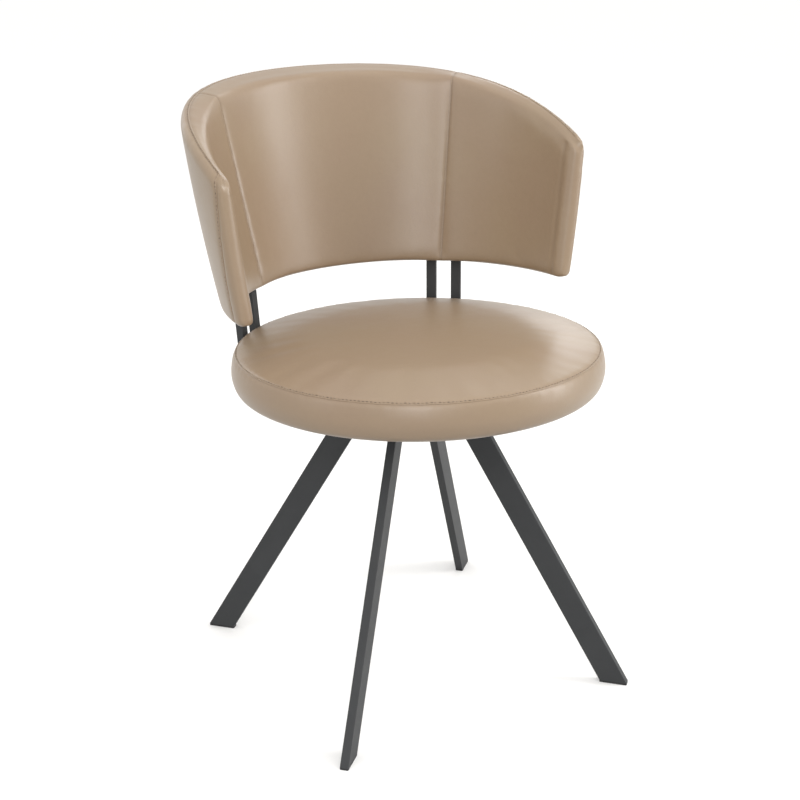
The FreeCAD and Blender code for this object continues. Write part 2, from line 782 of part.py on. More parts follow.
def make_back():
    whole = azimuths(-back_wall_azimuth, back_wall_azimuth, wall_stations)
    left = azimuths(-back_wall_azimuth, -back_seam_azimuth, panel_stations)
    centre = azimuths(-back_seam_azimuth, back_seam_azimuth, panel_stations)
    right = azimuths(back_seam_azimuth, back_wall_azimuth, panel_stations)
    for name, span in (("left", left), ("centre", centre), ("right", right)):
        export("back_panel_" + name, tilted(lofted([inner_cover_wire(a) for a in span])))
    outer = lofted([outer_cover_wire(a) for a in whole])
    bottom = lofted([bottom_cover_wire(a) for a in whole])
    rear_foam = lofted([rear_foam_wire(a) for a in whole])
    front_foam = lofted([front_foam_wire(a) for a in whole])
    shell = lofted([shell_wire(a) for a in whole])
    for side, offset in bar_places.values():
        slot = bar_slot(side, offset, soft_gap, soft_gap)
        outer = outer.cut(slot)
        bottom = bottom.cut(slot)
        rear_foam = rear_foam.cut(bar_slot(side, offset, soft_gap, shell_thickness / 2))
    screws, tee_nuts = [], []
    shell_across = shell_thickness * cos_deg(bar_upper_flare)
    for seat, axis in back_screw_places():
        head_room = cylinder(back_screw_head_radius + soft_gap, back_screw_head_height + 2 * soft_gap,
                             seat - axis * (back_screw_head_height + soft_gap), axis)
        nut_face = seat + axis * (bar_thickness + shell_across - soft_gap)
        flange_foot = nut_face - axis * tee_flange_height
        barrel_length = shell_across - tee_flange_height - 3 * soft_gap
        hole = cylinder(tee_barrel_radius + slip_gap, 2 * shell_thickness, seat + axis * (bar_thickness / 2), axis)
        shell = shell.cut(hole)
        shell = shell.cut(cylinder(tee_flange_radius + slip_gap, shell_thickness, flange_foot, axis))
        rear_foam = rear_foam.cut(head_room).cut(hole)
        screws.append(tilted(bolt(back_screw_radius, back_screw_head_radius, back_screw_head_height,
                                  bar_thickness + shell_across - 2 * soft_gap, seat, axis)))
        tee = cylinder(tee_barrel_radius, barrel_length, flange_foot - axis * barrel_length, axis)
        tee = tee.fuse(cylinder(tee_flange_radius, tee_flange_height, flange_foot, axis))
        tee_nuts.append(tilted(joined(tee.cut(cylinder(back_screw_radius + running_gap, 2 * barrel_length,
                                                       nut_face - axis * 2 * barrel_length, axis)))))
    export("back_outer_cover", tilted(outer))
    export("back_bottom_cover", tilted(bottom))
    export("back_rear_foam", tilted(rear_foam))
    export("back_front_foam", tilted(front_foam))
    export("back_shell", tilted(shell))
    export("back_screws", screws)
    export("back_tee_nuts", tee_nuts)
    half_way = (back_wall_azimuth + back_end_azimuth) / 2
    for name, side in (("left", -1), ("right", 1)):
        wires = [full_wire(side * back_wall_azimuth, 0), full_wire(side * half_way, back_end_round / 4),
                 full_wire(side * back_end_azimuth, back_end_round)]
        export("back_end_" + name, tilted(lofted(wires)))


os.makedirs("parts", exist_ok=True)
make_base()
make_swivel()
make_plate_bolts()
make_seat_frame()
make_bars()
make_cushion()
make_back()
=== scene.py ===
import json
import math

import bmesh
import bpy
from mathutils import Matrix, Vector, noise
from mathutils.bvhtree import BVHTree
from mathutils.kdtree import KDTree


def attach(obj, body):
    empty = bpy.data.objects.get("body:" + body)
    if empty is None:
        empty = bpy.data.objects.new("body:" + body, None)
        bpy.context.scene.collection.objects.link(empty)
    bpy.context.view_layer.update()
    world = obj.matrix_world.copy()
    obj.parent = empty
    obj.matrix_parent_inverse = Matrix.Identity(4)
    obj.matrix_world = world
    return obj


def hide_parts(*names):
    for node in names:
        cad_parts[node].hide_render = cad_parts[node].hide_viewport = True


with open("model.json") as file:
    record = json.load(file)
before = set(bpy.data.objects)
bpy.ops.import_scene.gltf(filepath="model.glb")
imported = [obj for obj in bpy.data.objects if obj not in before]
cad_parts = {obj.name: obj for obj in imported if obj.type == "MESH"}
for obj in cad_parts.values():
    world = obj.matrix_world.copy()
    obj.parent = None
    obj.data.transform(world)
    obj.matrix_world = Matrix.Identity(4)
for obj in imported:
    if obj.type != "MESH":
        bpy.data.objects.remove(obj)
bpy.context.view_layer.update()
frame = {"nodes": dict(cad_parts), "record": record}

# Swivel dining chair: camera, finishes, padded seat and back, seams, floor and lights.
# Lengths in the dictionaries are in millimetres unless a note says otherwise.

bpy.ops.object.select_all(action="DESELECT")


# Small helpers for colours, shader nodes and materials
def linear(hexColour):
    # sRGB hex to the linear values that the shaders take
    channels = [int(hexColour[i:i + 2], 16) / 255 for i in (1, 3, 5)]
    return [c / 12.92 if c <= 0.04045 else ((c + 0.055) / 1.055) ** 2.4 for c in channels] + [1.0]


def addNode(tree, kind, settings=None, links=None):
    node = tree.nodes.new(kind)
    for name, value in (settings or {}).items():
        if isinstance(name, int) or name in node.inputs.keys():
            node.inputs[name].default_value = value
        else:
            setattr(node, name, value)
    for name, source in (links or {}).items():
        tree.links.new(source, node.inputs[name])
    return node


def newMaterial(name, look):
    # a Principled shader with its constant values set on its own sockets
    material = bpy.data.materials.new(name)
    material.use_nodes = True
    tree = material.node_tree
    shader = tree.nodes["Principled BSDF"]
    for socket, value in look.items():
        shader.inputs[socket].default_value = value
    place = addNode(tree, "ShaderNodeTexCoord").outputs["Object"]
    return material, tree, shader, place


def perMetre(millimetres):
    # pattern scale for a feature of this size
    return 1000.0 / millimetres


def bandsPerMetre(millimetres):
    # the wave texture draws a band about every 2 pi units
    return perMetre(millimetres) / 6.3


def rideAs(piece, body):
    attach(piece, body)


# The seat and the back lean back together about a cross axis
lean = {"tilt": 2.0, "pivotHeight": 389.0, "barTop": 402.5}
leanTurn = Matrix.Rotation(math.radians(-lean["tilt"]), 3, "X")


def leaned(x, y, z):
    # a place of the untilted seat in millimetres, in the frame's metres
    return (leanTurn @ Vector((x, y, z - lean["pivotHeight"])) + Vector((0, 0, lean["pivotHeight"]))) / 1000


# The camera was found from the photograph's outline; target and distance are in metres
camera = {"target": (0.0, 0.0, 0.3596), "distance": 2.0454, "azimuth": -29.1, "elevation": 20.71,
          "roll": 0.19, "lens": 70.43, "shiftX": -0.0158, "shiftY": 0.0125, "sensor": 36.0,
          "near": 0.05, "far": 60.0}


def makeCamera():
    azimuth, elevation = math.radians(camera["azimuth"]), math.radians(camera["elevation"])
    back = Vector((math.sin(azimuth) * math.cos(elevation), -math.cos(azimuth) * math.cos(elevation),
                   math.sin(elevation)))
    right = (-back).cross(Vector((0, 0, 1))).normalized()
    above = right.cross(-back)
    roll = math.radians(camera["roll"])
    across = right * math.cos(roll) + above * math.sin(roll)
    upwards = above * math.cos(roll) - right * math.sin(roll)
    data = bpy.data.cameras.new("photoCamera")
    data.lens, data.sensor_width = camera["lens"], camera["sensor"]
    data.shift_x, data.shift_y = camera["shiftX"], camera["shiftY"]
    data.clip_start, data.clip_end = camera["near"], camera["far"]
    eye = bpy.data.objects.new("photoCamera", data)
    bpy.context.scene.collection.objects.link(eye)
    place = Matrix((across, upwards, back)).transposed().to_4x4()
    place.translation = Vector(camera["target"]) + back * camera["distance"]
    eye.matrix_world = place
    bpy.context.scene.camera = eye


makeCamera()
print("stage: camera set")


# Each finish is drawn by its own shader, in the piece's own coordinates
# the seam colour below is a painted shade for the seam grooves and the hollows at the arms' ends
leatherLook = {"base": "#8e7b62", "warm": "#8a7460", "seam": "#5a4836", "wear": "#9e8a70",
               "poreSize": 2.4, "foldSize": 38.0, "roughLow": 0.34, "roughHigh": 0.43}


def makeLeather():
    # polyurethane faux leather: embossed and rolled under heat, so it is even and satin with a fine pebble,
    # it takes long soft reflections, and a painted shade darkens it along the seams and the hollows at the arms'
    # ends
    material, tree, shader, place = newMaterial("champagneFauxLeather", {
        "IOR": 1.5, "Specular IOR Level": 0.55, "Coat Weight": 0.1, "Coat Roughness": 0.3})
    broad = addNode(tree, "ShaderNodeTexNoise", {"Scale": perMetre(120.0), "Detail": 2.0}, {"Vector": place})
    tone = addNode(tree, "ShaderNodeMix", {"data_type": "RGBA", 6: linear(leatherLook["base"]),
                                           7: linear(leatherLook["warm"])}, {0: broad.outputs["Fac"]})
    speck = addNode(tree, "ShaderNodeTexNoise", {"Scale": perMetre(6.0), "Detail": 4.0}, {"Vector": place})
    speckFade = addNode(tree, "ShaderNodeMapRange", {"From Min": 0.3, "From Max": 0.7, "To Min": 0.0,
                                                     "To Max": 0.1}, {"Value": speck.outputs["Fac"]})
    flecked = addNode(tree, "ShaderNodeMix", {"data_type": "RGBA", 7: linear(leatherLook["wear"])},
                      {0: speckFade.outputs["Result"], 6: tone.outputs[2]})
    # painted shade: along the seams and hollows the colour is mixed towards the dark seam colour
    sewn = addNode(tree, "ShaderNodeAttribute", {"attribute_name": "paintedSeamShade"})
    shaded = addNode(tree, "ShaderNodeMix", {"data_type": "RGBA", 7: linear(leatherLook["seam"])},
                     {0: sewn.outputs["Fac"], 6: flecked.outputs[2]})
    tree.links.new(shaded.outputs[2], shader.inputs["Base Color"])
    gloss = addNode(tree, "ShaderNodeMapRange", {"To Min": leatherLook["roughLow"],
                                                 "To Max": leatherLook["roughHigh"]},
                    {"Value": speck.outputs["Fac"]})
    tree.links.new(gloss.outputs["Result"], shader.inputs["Roughness"])
    # pebble of about 1 mm, drawn at 2.4 mm because the finer one falls between the pixels
    pebble = addNode(tree, "ShaderNodeTexVoronoi", {"feature": "SMOOTH_F1",
                                                    "Scale": perMetre(leatherLook["poreSize"]),
                                                    "Smoothness": 0.6}, {"Vector": place})
    grain = addNode(tree, "ShaderNodeBump", {"Strength": 0.12, "Distance": 0.0004},
                    {"Height": pebble.outputs["Distance"]})
    fold = addNode(tree, "ShaderNodeTexNoise", {"Scale": perMetre(leatherLook["foldSize"]), "Detail": 1.5},
                   {"Vector": place})
    soft = addNode(tree, "ShaderNodeBump", {"Strength": 0.14, "Distance": 0.004},
                   {"Height": fold.outputs["Fac"], "Normal": grain.outputs["Normal"]})
    tree.links.new(soft.outputs["Normal"], shader.inputs["Normal"])
    tree.links.new(grain.outputs["Normal"], shader.inputs["Coat Normal"])
    return material


threadLook = {"base": "#5f4d3b", "light": "#8d7962", "twist": 1.1}


def makeThread():
    # bonded polyester sewing thread: three plies twisted, so each stitch is slightly ribbed and nearly matt
    material, tree, shader, place = newMaterial("bondedPolyesterThread", {"IOR": 1.55, "Sheen Weight": 0.25})
    plies = addNode(tree, "ShaderNodeTexWave", {"Scale": bandsPerMetre(threadLook["twist"]),
                                                "Distortion": 1.0, "bands_direction": "DIAGONAL"},
                    {"Vector": place})
    tone = addNode(tree, "ShaderNodeMix", {"data_type": "RGBA", 6: linear(threadLook["base"]),
                                           7: linear(threadLook["light"])}, {0: plies.outputs["Fac"]})
    tree.links.new(tone.outputs[2], shader.inputs["Base Color"])
    rib = addNode(tree, "ShaderNodeBump", {"Strength": 0.5, "Distance": 0.0002}, {"Height": plies.outputs["Fac"]})
    tree.links.new(rib.outputs["Normal"], shader.inputs["Normal"])
    shader.inputs["Roughness"].default_value = 0.62
    return material


powderLook = {"base": "#303132", "light": "#3a3b3c", "peel": 1.8, "roughLow": 0.5, "roughHigh": 0.62}


def makePowderCoat():
    # powder coat on mild steel: melted on and set in an oven, so it is satin with a slight orange peel
    material, tree, shader, place = newMaterial("charcoalPowderCoat", {"IOR": 1.5, "Specular IOR Level": 0.3})
    peel = addNode(tree, "ShaderNodeTexNoise", {"Scale": perMetre(powderLook["peel"]), "Detail": 2.0},
                   {"Vector": place})
    cloud = addNode(tree, "ShaderNodeTexNoise", {"Scale": perMetre(40.0), "Detail": 3.0}, {"Vector": place})
    tone = addNode(tree, "ShaderNodeMix", {"data_type": "RGBA", 6: linear(powderLook["base"]),
                                           7: linear(powderLook["light"])}, {0: cloud.outputs["Fac"]})
    tree.links.new(tone.outputs[2], shader.inputs["Base Color"])
    gloss = addNode(tree, "ShaderNodeMapRange", {"To Min": powderLook["roughLow"],
                                                 "To Max": powderLook["roughHigh"]},
                    {"Value": peel.outputs["Fac"]})
    tree.links.new(gloss.outputs["Result"], shader.inputs["Roughness"])
    # orange peel of about 0.8 mm, drawn at 1.8 mm so that it shows
    skin = addNode(tree, "ShaderNodeBump", {"Strength": 0.1, "Distance": 0.0005}, {"Height": peel.outputs["Fac"]})
    tree.links.new(skin.outputs["Normal"], shader.inputs["Normal"])
    return material


def makeMetal(name, colour, scratchSize, roughLow, roughHigh):
    # rolled or turned steel: faint lines left by the tool vary the gloss along one way
    material, tree, shader, place = newMaterial(name, {"Metallic": 1.0})
    shader.inputs["Base Color"].default_value = linear(colour)
    drawn = addNode(tree, "ShaderNodeMapping", {"Scale": (1.0, 0.08, 1.0)}, {"Vector": place})
    lines = addNode(tree, "ShaderNodeTexNoise", {"Scale": perMetre(scratchSize), "Detail": 5.0},
                    {"Vector": drawn.outputs["Vector"]})
    gloss = addNode(tree, "ShaderNodeMapRange", {"To Min": roughLow, "To Max": roughHigh},
                    {"Value": lines.outputs["Fac"]})
    tree.links.new(gloss.outputs["Result"], shader.inputs["Roughness"])
    relief = addNode(tree, "ShaderNodeBump", {"Strength": 0.08, "Distance": 0.0003},
                     {"Height": lines.outputs["Fac"]})
    tree.links.new(relief.outputs["Normal"], shader.inputs["Normal"])
    return material


def makePlastic(name, dark, light, roughLow, roughHigh, sparkSize):
    # injection moulded plastic: a spark-eroded mould leaves a fine even texture
    material, tree, shader, place = newMaterial(name, {"IOR": 1.5})
    spark = addNode(tree, "ShaderNodeTexNoise", {"Scale": perMetre(sparkSize), "Detail": 3.0}, {"Vector": place})
    tone = addNode(tree, "ShaderNodeMix", {"data_type": "RGBA", 6: linear(dark), 7: linear(light)},
                   {0: spark.outputs["Fac"]})
    tree.links.new(tone.outputs[2], shader.inputs["Base Color"])
    gloss = addNode(tree, "ShaderNodeMapRange", {"To Min": roughLow, "To Max": roughHigh},
                    {"Value": spark.outputs["Fac"]})
    tree.links.new(gloss.outputs["Result"], shader.inputs["Roughness"])
    relief = addNode(tree, "ShaderNodeBump", {"Strength": 0.2, "Distance": 0.0002},
                     {"Height": spark.outputs["Fac"]})
    tree.links.new(relief.outputs["Normal"], shader.inputs["Normal"])
    return material


woodLook = {"light": "#c9a97c", "dark": "#a9855a", "glue": "#6d4f33", "ply": 1.5}


def makePlywood():
    # rotary-cut birch veneers pressed with glue: long soft grain on the faces and thin dark glue lines on edges
    material, tree, shader, place = newMaterial("birchPlywood", {"IOR": 1.45})
    along = addNode(tree, "ShaderNodeMapping", {"Scale": (1.0, 0.09, 1.0)}, {"Vector": place})
    grain = addNode(tree, "ShaderNodeTexNoise", {"Scale": perMetre(5.0), "Detail": 6.0, "Distortion": 0.6},
                    {"Vector": along.outputs["Vector"]})
    tone = addNode(tree, "ShaderNodeMix", {"data_type": "RGBA", 6: linear(woodLook["light"]),
                                           7: linear(woodLook["dark"])},
                   {0: grain.outputs["Fac"]})
    plies = addNode(tree, "ShaderNodeTexWave", {"bands_direction": "Z", "Scale": bandsPerMetre(woodLook["ply"])},
                    {"Vector": place})
    glue = addNode(tree, "ShaderNodeMapRange", {"From Min": 0.85, "To Max": 0.4}, {"Value": plies.outputs["Fac"]})
    lined = addNode(tree, "ShaderNodeMix", {"data_type": "RGBA", 7: linear(woodLook["glue"])},
                    {0: glue.outputs["Result"], 6: tone.outputs[2]})
    tree.links.new(lined.outputs[2], shader.inputs["Base Color"])
    relief = addNode(tree, "ShaderNodeBump", {"Strength": 0.15, "Distance": 0.0003},
                     {"Height": grain.outputs["Fac"]})
    tree.links.new(relief.outputs["Normal"], shader.inputs["Normal"])
    shader.inputs["Roughness"].default_value = 0.6
    return material


clothLook = {"dark": "#161617", "light": "#2b2b2d", "dotGap": 2.2}


def makeDustCloth():
    # spunbonded polypropylene: hot rollers leave a grid of small pressed dots in the black fleece
    material, tree, shader, place = newMaterial("spunbondDustCloth", {"Sheen Weight": 0.2})
    dots = addNode(tree, "ShaderNodeTexVoronoi", {"Scale": perMetre(clothLook["dotGap"]), "Randomness": 0.15},
                   {"Vector": place})
    fleece = addNode(tree, "ShaderNodeTexNoise", {"Scale": perMetre(4.0), "Detail": 6.0}, {"Vector": place})
    tone = addNode(tree, "ShaderNodeMix", {"data_type": "RGBA", 6: linear(clothLook["dark"]),
                                           7: linear(clothLook["light"])},
                   {0: fleece.outputs["Fac"]})
    tree.links.new(tone.outputs[2], shader.inputs["Base Color"])
    relief = addNode(tree, "ShaderNodeBump", {"Strength": 0.5, "Distance": 0.0003},
                     {"Height": dots.outputs["Distance"]})
    tree.links.new(relief.outputs["Normal"], shader.inputs["Normal"])
    shader.inputs["Roughness"].default_value = 0.85
    return material


foamLook = {"light": "#e6dcb8", "dark": "#cfc29a", "cell": 1.5}


def makeFoam():
    # cut polyurethane foam: open cells give a matt, finely pitted face
    material, tree, shader, place = newMaterial("cutSeatFoam", {"Sheen Weight": 0.1})
    cells = addNode(tree, "ShaderNodeTexVoronoi", {"Scale": perMetre(foamLook["cell"])}, {"Vector": place})
    tone = addNode(tree, "ShaderNodeMix", {"data_type": "RGBA", 6: linear(foamLook["light"]),
                                           7: linear(foamLook["dark"])},
                   {0: cells.outputs["Distance"]})
    tree.links.new(tone.outputs[2], shader.inputs["Base Color"])
    pits = addNode(tree, "ShaderNodeBump", {"Strength": 0.6, "Distance": 0.0005},
                   {"Height": cells.outputs["Distance"]})
    tree.links.new(pits.outputs["Normal"], shader.inputs["Normal"])
    shader.inputs["Roughness"].default_value = 0.95
    return material


leather, thread = makeLeather(), makeThread()
finishes = {
    "powder_coat": makePowderCoat(),
    "glide_plastic": makePlastic("mouldedPolyethylene", "#101011", "#1c1c1e", 0.5, 0.65, 1.4),
    "zinc_steel": makeMetal("brightZincPlate", "#b9bcc0", 3.0, 0.22, 0.4),
    "bearing_steel": makeMetal("polishedBearingSteel", "#c9cacc", 2.0, 0.06, 0.14),
    "cage_nylon": makePlastic("naturalNylon", "#d9d3c2", "#e6e1d2", 0.4, 0.5, 2.0),
    "upholstery": leather,
    "plywood": makePlywood(),
    "foam": makeFoam(),
    "dust_cloth": makeDustCloth(),
}
for part in frame["record"]["subparts"]:
    mesh = frame["nodes"][part["node"]].data
    mesh.materials.clear()
    mesh.materials.append(finishes[part["material_slot"]])
print("stage: finishes made and given to", len(frame["nodes"]), "nodes")


# Lines and curves that the outlines of the padded pieces are made of
def lineTo(start, end, count):
    return [start.lerp(end, i / count) for i in range(count)]


def roundTo(start, corner, end, count, weight=0.7071):
    # points of a round corner from start towards end, end left out
    points = []
    for i in range(count):
        t = i / count
        a, b, c = (1 - t) ** 2, 2 * weight * t * (1 - t), t * t
        points.append((start * a + corner * b + end * c) / (a + b + c))
    return points


def bowTo(start, control, end, count):
    return roundTo(start, control, end, count, 1.0)


def meshPiece(name, points, faces, material):
    mesh = bpy.data.meshes.new(name)
    mesh.from_pydata(points, [], faces)
    piece = bpy.data.objects.new(name, mesh)
    bpy.context.scene.collection.objects.link(piece)
    shell = bmesh.new()
    shell.from_mesh(mesh)
    bmesh.ops.recalc_face_normals(shell, faces=shell.faces)
    shell.to_mesh(mesh)
    shell.free()
    mesh.materials.append(material)
    mesh.shade_smooth()
    return piece


def pickPiece(piece):
    bpy.ops.object.select_all(action="DESELECT")
    piece.select_set(True)
    bpy.context.view_layer.objects.active = piece


filling = {"quality": 5, "mass": 0.3, "stretch": 30.0, "shear": 15.0, "bend": 2.0, "easing": 0.5}


def puffUp(piece, held, pressure, cap, steps):
    # the cover is blown up against its sewn lines, then no point may leave its place by more than the cap
    start = [v.co.copy() for v in piece.data.vertices]
    pinned = piece.vertex_groups.new(name="sewn")
    pinned.add(held, 1.0, "REPLACE")
    cover = piece.modifiers.new("cover", "CLOTH")
    cover.settings.quality = filling["quality"]
    cover.settings.mass = filling["mass"]
    cover.settings.tension_stiffness = filling["stretch"]
    cover.settings.compression_stiffness = filling["stretch"]
    cover.settings.shear_stiffness = filling["shear"]
    cover.settings.bending_stiffness = filling["bend"]
    cover.settings.use_pressure = True
    cover.settings.uniform_pressure_force = pressure
    cover.settings.vertex_group_mass = "sewn"
    cover.settings.effector_weights.gravity = 0.0
    cover.point_cache.frame_start, cover.point_cache.frame_end = 1, steps
    for step in range(1, steps + 1):
        bpy.context.scene.frame_set(step)
    pickPiece(piece)
    bpy.ops.object.modifier_apply(modifier=cover.name)
    bpy.context.scene.frame_set(1)
    furthest = 0.0
    for vertex, home in zip(piece.data.vertices, start):
        move = vertex.co - home
        furthest = max(furthest, move.length)
        if move.length > cap / 1000:
            vertex.co = home + move.normalized() * cap / 1000
    piece.vertex_groups.clear()
    return furthest * 1000


def relax(piece, held, rounds):
    # evens out the ripples that the filling leaves, away from the sewn lines
    fixed = set(held)
    loose = piece.vertex_groups.new(name="loose")
    loose.add([v.index for v in piece.data.vertices if v.index not in fixed], 1.0, "REPLACE")
    ease = piece.modifiers.new("ease", "SMOOTH")
    ease.factor, ease.iterations, ease.vertex_group = filling["easing"], rounds, "loose"
    pickPiece(piece)
    bpy.ops.object.modifier_apply(modifier=ease.name)
    piece.vertex_groups.clear()


def subdivideOnce(piece):
    finer = piece.modifiers.new("finer", "SUBSURF")
    finer.levels = finer.render_levels = 1
    pickPiece(piece)
    bpy.ops.object.modifier_apply(modifier=finer.name)


# the first three as parts of the seam's width, the spread in millimetres
seamPull = {"reach": 5.0, "puckerFade": 1.6, "puckerStart": 0.5, "puckerSpread": 40.0}
# for each seam: shade is the strength of the shade painted along it and shadeWidth its spread in millimetres
seamLooks = {
    "seat": {"width": 4.0, "depth": 1.5, "pucker": 7.0, "puckerDepth": 1.1, "seed": 1.7, "shade": 0.3,
             "shadeWidth": 2.2},
    "rim": {"width": 4.0, "depth": 1.3, "pucker": 9.0, "puckerDepth": 0.9, "seed": 3.1, "shade": 0.3,
            "shadeWidth": 2.2},
    "leftPanel": {"width": 2.0, "depth": 0.6, "pucker": 9.0, "puckerDepth": 0.9, "seed": 5.3, "shade": 0.5,
                  "shadeWidth": 1.6},
    "rightPanel": {"width": 2.0, "depth": 0.6, "pucker": 9.0, "puckerDepth": 0.9, "seed": 7.9, "shade": 0.5,
                   "shadeWidth": 1.6},
    "leftGroove": {"width": 3.4, "depth": 1.1, "pucker": 20.0, "puckerDepth": 0.5, "seed": 8.0, "shade": 0.22,
                   "shadeWidth": 3.0},
    "rightGroove": {"width": 3.4, "depth": 1.1, "pucker": 20.0, "puckerDepth": 0.5, "seed": 10.0, "shade": 0.22,
                    "shadeWidth": 3.0},
}


def sewInto(piece, seams):
    # pulls the cover in along each seam, with small puckers beside it, and stores a painted shade along it for the
    # leather's colour
    mesh = piece.data
    shade = mesh.attributes.new("paintedSeamShade", "FLOAT", "POINT")
    normals = [v.normal.copy() for v in mesh.vertices]
    paintedShades = [0.0] * len(mesh.vertices)
    moves = [Vector((0, 0, 0)) for _ in mesh.vertices]
    for seam in seams:
        points, width = seam["points"], seam["width"]
        tree = KDTree(len(points))
        lengths, total = [], 0.0
        for i, point in enumerate(points):
            total += (point - points[i - 1]).length if i else 0.0
            lengths.append(total)
            tree.insert(point, i)
        tree.balance()
        for i, vertex in enumerate(mesh.vertices):
            _, index, gap = tree.find(vertex.co)
            gap *= 1000
            if gap > seamPull["reach"] * width:
                continue
            pull = math.exp(-(gap / width) ** 2) * seam["depth"]
            run = lengths[index] * 1000
            wave = noise.noise(Vector((run / seam["pucker"], gap / seamPull["puckerSpread"], seam["seed"])))
            fade = math.exp(-gap / (seamPull["puckerFade"] * width))
            fade *= 1 - math.exp(-(gap / (seamPull["puckerStart"] * width)) ** 2)
            moves[i] += normals[i] * (-pull + wave * fade * seam["puckerDepth"]) / 1000
            # painted shade, strongest on the seam line and fading over shadeWidth
            paintedShades[i] = max(paintedShades[i], math.exp(-(gap / seam["shadeWidth"]) ** 2) * seam["shade"])
    for vertex, move in zip(mesh.vertices, moves):
        vertex.co += move
    shade.data.foreach_set("value", paintedShades)


def onCover(piece, points):
    # places and normals of the cover nearest to these points
    tree = BVHTree.FromObject(piece, bpy.context.evaluated_depsgraph_get())
    found = [tree.find_nearest(p) for p in points]
    return [(f[0], f[1]) for f in found]


def evenly(points, step, closed=False):
    # points every step millimetres along a line of points, with the way it runs there
    line = points + points[:1] if closed else points
    lengths = [0.0]
    for a, b in zip(line, line[1:]):
        lengths.append(lengths[-1] + (b - a).length)
    count = max(2, round(lengths[-1] * 1000 / step))
    places, k = [], 0
    for i in range(count if closed else count + 1):
        goal = lengths[-1] * i / count
        while k < len(lengths) - 2 and lengths[k + 1] < goal:
            k += 1
        span = max(lengths[k + 1] - lengths[k], 1e-9)
        spot = line[k].lerp(line[k + 1], (goal - lengths[k]) / span)
        places.append((spot, (line[k + 1] - line[k]).normalized()))
    return places


sewnShape = {"lipResolution": 2, "stitchSides": 6, "stitchTaper": 0.45}


def makeLip(name, piece, points, look, closed):
    # the folded edge of the cover that stands a little proud along a seam
    places = evenly(points, look["step"], closed)
    seats = onCover(piece, [p for p, _ in places])
    path = bpy.data.curves.new(name, "CURVE")
    path.dimensions = "3D"
    line = path.splines.new("POLY")
    line.points.add(len(seats) - 1)
    for dot, (seat, normal), (_, way) in zip(line.points, seats, places):
        side = normal.cross(way).normalized()
        dot.co = (*(seat + side * look["aside"] / 1000 + normal * look["lift"] / 1000), 1.0)
    line.use_cyclic_u = closed
    path.bevel_depth = look["radius"] / 1000
    path.bevel_resolution = sewnShape["lipResolution"]
    path.use_fill_caps = True
    lip = bpy.data.objects.new(name, path)
    bpy.context.scene.collection.objects.link(lip)
    pickPiece(lip)
    bpy.ops.object.convert(target="MESH")
    lip.data.materials.clear()
    lip.data.materials.append(leather)
    lip.data.shade_smooth()
    return lip


def makeStitches(name, piece, points, look, closed):
    # one stitch is modelled, and its copies follow the seam
    bpy.ops.object.select_all(action="DESELECT")
    bpy.ops.mesh.primitive_cylinder_add(vertices=sewnShape["stitchSides"], radius=look["thread"] / 2000,
                                        depth=look["stitch"] / 1000)
    single = bpy.context.active_object
    bpy.ops.object.mode_set(mode="EDIT")
    bpy.ops.mesh.select_all(action="SELECT")
    bpy.ops.mesh.bisect(plane_co=(0, 0, 0), plane_no=(0, 0, 1))
    bpy.ops.mesh.select_all(action="SELECT")
    bpy.ops.mesh.subdivide(number_cuts=1)
    bpy.ops.object.mode_set(mode="OBJECT")
    half = look["stitch"] / 2000
    shape = []
    for vertex in single.data.vertices:
        along = vertex.co.z / half
        slim = 1.0 - sewnShape["stitchTaper"] * along * along
        dip = look["dip"] / 1000 * along * along
        shape.append(Vector((vertex.co.x * slim, vertex.co.y * slim - dip, vertex.co.z)))
    faces = [tuple(f.vertices) for f in single.data.polygons]
    bpy.data.objects.remove(single)
    vertices, copies = [], []
    places = evenly(points, look["pitch"], closed)
    seats = onCover(piece, [p for p, _ in places])
    for (seat, normal), (_, way) in zip(seats, places):
        side = normal.cross(way).normalized()
        ahead = side.cross(normal).normalized()
        ahead = ahead if ahead.dot(way) > 0 else -ahead
        centre = seat + side * look["aside"] / 1000 + normal * look["lift"] / 1000
        offset = len(vertices)
        vertices += [centre + side * p.x + normal * p.y + ahead * p.z for p in shape]
        copies += [tuple(offset + i for i in face) for face in faces]
    return meshPiece(name, vertices, copies, thread)


# The seat cushion: a soft-cornered middle patch, then rings out over the crown and down the band
seat = {"centreY": -15.7, "sectors": 192, "patch": 105.0, "crown": 65.5, "shoulder": (209.0, 60.2),
        "seam": (234.3, 50.3), "bulge": (240.4, 25.0), "foot": (237.0, 13.0), "footRound": 13.0,
        "hem": 200.0, "boardInside": 8.0, "startSmaller": 1.0, "pressure": 4.0, "cap": 5.0, "steps": 20,
        "ease": 14, "seamStep": 2.0}
# how many rings each part of the cushion's profile has, and the shape of its middle patch
seatRings = {"crown": 15, "lead": 15.0, "shoulder": 7, "band": 9, "foot": 6, "under": 4, "bridges": 4,
             "fixedRings": 6, "patchShare": 0.8, "squareSize": 0.84, "discShare": 0.55, "squareShare": 0.45}


